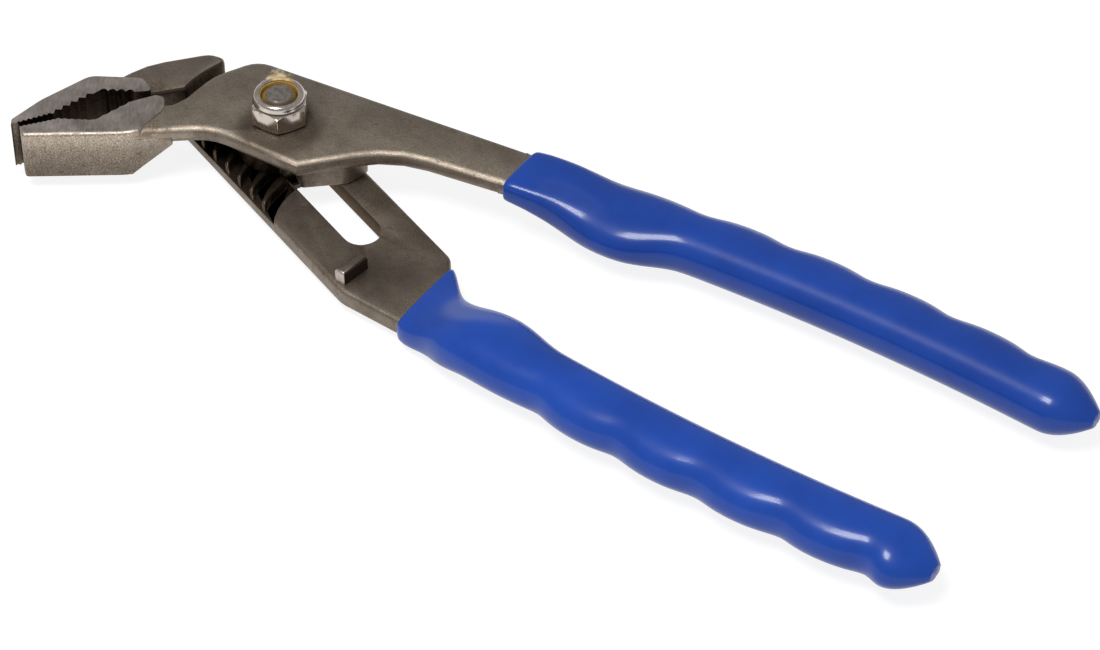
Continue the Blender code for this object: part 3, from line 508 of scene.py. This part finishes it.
nut_steel, tree = blank("plated steel, tumbled bright")
place = node(tree, "ShaderNodeTexCoord", {}).outputs["Object"]
haze = node(tree, "ShaderNodeTexNoise", {
    "Vector": place, "Scale": 1 / (2.2 * MM), "Detail": 4.0, "Roughness": 0.65})
spread = node(tree, "ShaderNodeMapRange", {
    "Value": haze.outputs["Fac"], "From Min": 0.35, "From Max": 0.65})
plating = node(tree, "ShaderNodeMix", {
    "Factor": spread.outputs["Result"], "A": srgb("bdb1a8"), "B": srgb("d9cfc8")}, data_type="RGBA")
height = node(tree, "ShaderNodeSeparateXYZ", {"Vector": place})
on_flats = node(tree, "ShaderNodeMapRange", {
    "Value": height.outputs["Z"], "From Min": 22.9 * MM, "From Max": 21.7 * MM, "To Max": 0.8})
tone = node(tree, "ShaderNodeMix", {
    "Factor": on_flats.outputs["Result"], "A": plating.outputs["Result"], "B": srgb("cdc0b5")},
    data_type="RGBA")
# Painted shade: a dark line in the step under the collar.
step = node(tree, "ShaderNodeMath", {0: height.outputs["Z"], 1: 21.95 * MM}, operation="SUBTRACT")
depth = node(tree, "ShaderNodeMath", {0: step.outputs["Value"]}, operation="ABSOLUTE")
step_shade = node(tree, "ShaderNodeMapRange", {
    "Value": depth.outputs["Value"], "From Min": 0.3 * MM, "From Max": 0.1 * MM, "To Max": 0.8})
step_shaded = node(tree, "ShaderNodeMix", {
    "Factor": step_shade.outputs["Result"], "A": tone.outputs["Result"], "B": srgb("3a322c")},
    data_type="RGBA")
rough = node(tree, "ShaderNodeMapRange", {
    "Value": haze.outputs["Fac"], "From Min": 0.3, "From Max": 0.7, "To Min": 0.16, "To Max": 0.26})
dents = node(tree, "ShaderNodeBump", {
    "Height": haze.outputs["Fac"], "Strength": 0.15, "Distance": 0.1 * MM})
steel = node(tree, "ShaderNodeBsdfPrincipled", {
    "Base Color": step_shaded.outputs["Result"], "Roughness": rough.outputs["Result"],
    "Normal": dents.outputs["Normal"], "Metallic": 1.0})
node(tree, "ShaderNodeOutputMaterial", {"Surface": steel.outputs["BSDF"]})
smear(nut_steel, middle=(-2.9 * MM, 4.9 * MM, 23.3 * MM), turn=0,
      radii=(4.1 * MM, 3.7 * MM, 2.8 * MM), thick="cdb98d", thin="b0853c")

nut_mesh = merged("lock_nut")
corners = [e for e in nut_mesh.edges if abs(e.verts[0].co.z - e.verts[1].co.z) > 2 * MM
           and e.verts[0].co.xy.length > 6.5 * MM]
bmesh.ops.bevel(nut_mesh, geom=corners, offset=0.3 * MM, offset_type="OFFSET", affect="EDGES", segments=3,
                profile=0.5, material=-1, clamp_overlap=True)
nut = piece("lock_nut_plated", nut_mesh, [nut_steel], angle=32)
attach(nut, "pivot")
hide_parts("lock_nut")


# Nylon ring: the insert that grips the bolt so that the nut can't shake loose.  It is moulded in
# natural nylon and held under the lip of the collar, and oil has turned it yellow.

nylon, tree = blank("natural nylon, oil-stained")
place = node(tree, "ShaderNodeTexCoord", {}).outputs["Object"]
stain = node(tree, "ShaderNodeTexNoise", {
    "Vector": place, "Scale": 1 / (1.6 * MM), "Detail": 3.0, "Roughness": 0.6})
tone = node(tree, "ShaderNodeMix", {
    "Factor": stain.outputs["Fac"], "A": srgb("8a6c38"), "B": srgb("c4a664")}, data_type="RGBA")
plastic = node(tree, "ShaderNodeBsdfPrincipled", {
    "Base Color": tone.outputs["Result"], "Roughness": 0.4, "IOR": 1.53})
node(tree, "ShaderNodeOutputMaterial", {"Surface": plastic.outputs["BSDF"]})

ring = piece("nylon_insert", merged("nylon_ring"), [nylon], angle=30)
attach(ring, "pivot")
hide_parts("nylon_ring")


# Vinyl grips: both handles are dipped in soft blue vinyl, which cures glossy, with a slightly
# wavy skin and rounded finger lobes.  Each is one closed sleeve that shrinks tight on its bar.


def vinyl(name, deep, light, sheen_middle, reach, sheen_amount):
    """Dipped PVC plastisol: saturated blue under a wet-looking, faintly uneven gloss.

    A pale grey sheen is painted round one place near its mouth, as a reflection.
    """
    material, tree = blank(name)
    place = node(tree, "ShaderNodeTexCoord", {}).outputs["Object"]
    cloud = node(tree, "ShaderNodeTexNoise", {
        "Vector": place, "Scale": 1 / (16 * MM), "Detail": 3.0, "Roughness": 0.55})
    peel = node(tree, "ShaderNodeTexNoise", {
        "Vector": place, "Scale": 1 / (2.4 * MM), "Detail": 2.0, "Roughness": 0.5})
    spread = node(tree, "ShaderNodeMapRange", {
        "Value": cloud.outputs["Fac"], "From Min": 0.35, "From Max": 0.65})
    tone = node(tree, "ShaderNodeMix", {
        "Factor": spread.outputs["Result"], "A": srgb(deep), "B": srgb(light)}, data_type="RGBA")
    local = node(tree, "ShaderNodeMapping", {
        "Vector": place, "Location": sheen_middle, "Scale": reach}, vector_type="TEXTURE")
    away = node(tree, "ShaderNodeVectorMath", {0: local.outputs["Vector"]}, operation="LENGTH")
    # Painted sheen: a pale grey reflection near the mouth.
    dull = node(tree, "ShaderNodeMapRange", {
        "Value": away.outputs["Value"], "From Min": 1.0, "From Max": 0.6, "To Max": sheen_amount},
        interpolation_type="SMOOTHSTEP")
    sheened_tone = node(tree, "ShaderNodeMix", {
        "Factor": dull.outputs["Result"], "A": tone.outputs["Result"], "B": srgb("98a0b4")},
        data_type="RGBA")
    rough = node(tree, "ShaderNodeMapRange", {
        "Value": peel.outputs["Fac"], "From Min": 0.3, "From Max": 0.7, "To Min": 0.3, "To Max": 0.38})
    skin = node(tree, "ShaderNodeBump", {
        "Height": peel.outputs["Fac"], "Strength": 0.2, "Distance": 0.06 * MM})
    plastic = node(tree, "ShaderNodeBsdfPrincipled", {
        "Base Color": sheened_tone.outputs["Result"], "Roughness": rough.outputs["Result"],
        "Normal": skin.outputs["Normal"], "IOR": 1.54, "Specular IOR Level": 0.15,
        "Coat Weight": 0.35, "Coat Roughness": 0.14, "Coat Normal": skin.outputs["Normal"]})
    node(tree, "ShaderNodeOutputMaterial", {"Surface": plastic.outputs["BSDF"]})
    return material


def dipped(name, sleeve, material):
    """The CAD sleeve as quads, subdivided once, so that the dip has no facets."""
    bm = welded(sleeve)
    bmesh.ops.join_triangles(bm, faces=bm.faces[:], angle_face_threshold=math.radians(40),
                             angle_shape_threshold=math.radians(60))
    made = piece(name, bm, [material], angle=180)
    rounding = made.modifiers.new("rounding", "SUBSURF")
    rounding.levels = 1
    rounding.render_levels = 1
    return made


upper_vinyl = vinyl("blue vinyl dip, upper", deep="133b90", light="17429c",
                    sheen_middle=(70 * MM, 14 * MM, 16 * MM), reach=(12 * MM, 5 * MM, 3 * MM), sheen_amount=0.03)
far_grip = dipped("upper_vinyl_dip", "upper_grip", upper_vinyl)
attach(far_grip, "upper_half")
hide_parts("upper_grip")

lower_vinyl = vinyl("blue vinyl dip, lower", deep="154099", light="1947a6",
                    sheen_middle=(70 * MM, -24 * MM, 13.5 * MM), reach=(14 * MM, 7 * MM, 6 * MM), sheen_amount=0.17)
near_grip = dipped("lower_vinyl_dip", "lower_grip", lower_vinyl)
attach(near_grip, "lower_half")
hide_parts("lower_grip")


# Table, light and camera: a matt white sheet under one soft box, with even white light from all
# sides.  The sheet shows as white to the camera and in reflections.  To all other light it is
# plain paper, so it adds no light of its own to the tool, and it keeps the tool's shadow.

paper, tree = blank("white paper, matt")
sheet = node(tree, "ShaderNodeBsdfDiffuse", {"Color": srgb("e7e7e7")})
shadowed = node(tree, "ShaderNodeBsdfDiffuse", {"Color": srgb("7c7c7c")})
white = node(tree, "ShaderNodeEmission", {"Strength": 0.86})
shown = node(tree, "ShaderNodeAddShader", {0: shadowed.outputs["BSDF"], 1: white.outputs["Emission"]})
path = node(tree, "ShaderNodeLightPath", {})
mirrored = node(tree, "ShaderNodeMath", {
    0: path.outputs["Is Glossy Ray"], 1: path.outputs["Is Transmission Ray"]}, operation="MAXIMUM")
seen = node(tree, "ShaderNodeMath", {
    0: path.outputs["Is Camera Ray"], 1: mirrored.outputs["Value"]}, operation="MAXIMUM")
both = node(tree, "ShaderNodeMixShader", {
    "Fac": seen.outputs["Value"], 1: sheet.outputs["BSDF"], 2: shown.outputs["Shader"]})
node(tree, "ShaderNodeOutputMaterial", {"Surface": both.outputs["Shader"]})

table_size = 4
table_gap = 0.1 * MM
table_mesh = bmesh.new()
bmesh.ops.create_grid(table_mesh, x_segments=1, y_segments=1, size=table_size)
for vert in table_mesh.verts:
    vert.co.z = cad_box[0][2] - table_gap
table = piece("table", table_mesh, [paper], angle=30)

world = bpy.data.worlds.new("studio")
world.use_nodes = True
sky = world.node_tree.nodes["Background"]
sky.inputs["Color"].default_value = srgb("ffffff")
sky.inputs["Strength"].default_value = 0.36
bpy.context.scene.world = world

# The camera looks square at the front of the jaws, from 44 degrees above the table.
tilt = math.radians(44)
sight = Vector((-math.sin(jaw_angle) * math.cos(tilt),
                math.cos(jaw_angle) * math.cos(tilt), -math.sin(tilt)))
upward = jaw_line.cross(sight)
camera_place = Vector((0.43205, -0.5374, 0.6139))
camera_data = bpy.data.cameras.new("camera")
camera_data.sensor_width = 36
camera_data.lens = 130.9
camera_data.clip_start = 0.05
camera_data.clip_end = 20
camera = bpy.data.objects.new("camera", camera_data)
camera.matrix_world = Matrix((
    (jaw_line.x, upward.x, -sight.x, camera_place.x),
    (jaw_line.y, upward.y, -sight.y, camera_place.y),
    (jaw_line.z, upward.z, -sight.z, camera_place.z),
    (0, 0, 0, 1)))
bpy.context.scene.collection.objects.link(camera)
bpy.context.scene.camera = camera

# The soft box stands almost straight in front of the tool and high up, aimed at its middle.
key_side = math.radians(-4)
key_height = math.radians(68)
key_distance = 1.3
tool_middle = Vector((60 * MM, 0, 10 * MM))
key_line = Vector((math.sin(key_side) * math.cos(key_height),
                   -math.cos(key_side) * math.cos(key_height), math.sin(key_height)))
key_data = bpy.data.lights.new("key", "AREA")
key_data.size = 0.42
key_data.energy = 13
key = bpy.data.objects.new("key", key_data)
key.location = tool_middle + key_distance * key_line
key.rotation_euler = key_line.to_track_quat("Z", "Y").to_euler()
bpy.context.scene.collection.objects.link(key)

bpy.context.scene.view_settings.view_transform = "Standard"
